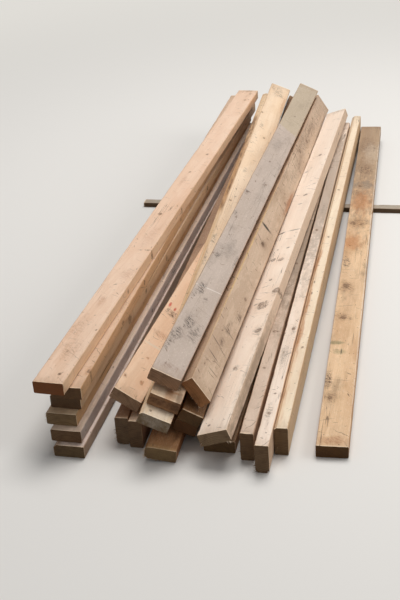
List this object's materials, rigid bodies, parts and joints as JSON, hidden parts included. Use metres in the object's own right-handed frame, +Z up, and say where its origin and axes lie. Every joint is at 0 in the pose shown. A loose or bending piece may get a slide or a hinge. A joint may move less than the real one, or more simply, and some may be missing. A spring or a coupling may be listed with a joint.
{
  "type": "lumber stack",
  "caption": "Loose stack of used softwood boards: a squared pile, boards leaning over one another, boards on edge and one lying apart, all over a thin cross batten.",
  "frame": {"origin": "on the floor, under the middle of the whole stack's outline", "axes": "+Y runs along the boards from the near ends to the far ends, +X to the right across the stack, +Z up"},
  "size_m": [1.2192, 2.5616, 0.2823],
  "materials": {
    "pale_pine": "rough sawn and weathered",
    "peach_pine": "rough sawn and weathered",
    "yellow_pine": "rough sawn and weathered",
    "grey_pine": "rough sawn and weathered",
    "tan_pine": "rough sawn and weathered",
    "weathered_pine": "rough sawn and weathered",
    "honey_stained_pine": "rough sawn and weathered",
    "batten_pine": "rough sawn and weathered"
  },
  "bodies": {
    "root": {"cross_batten": "batten_pine", "left_pile_bottom_board": "weathered_pine", "left_pile_second_board": "weathered_pine", "left_pile_third_board": "yellow_pine", "left_pile_fourth_board": "tan_pine", "left_pile_fifth_board": "peach_pine", "left_pile_top_board": "peach_pine", "outer_edgewise_board": "tan_pine", "inner_edgewise_board": "tan_pine", "splintered_floor_board": "tan_pine", "low_flat_board": "tan_pine", "first_upright_board": "weathered_pine", "second_upright_board": "pale_pine", "third_upright_board": "pale_pine", "honey_single_board": "honey_stained_pine", "narrow_lower_board": "tan_pine", "pale_wide_board": "pale_pine", "peach_slanting_board": "peach_pine", "lower_middle_board": "peach_pine", "narrow_shaded_board": "tan_pine", "yellow_middle_board": "yellow_pine", "tan_leaning_board": "tan_pine", "grey_top_board": "grey_pine"}
  },
  "joints": []
}
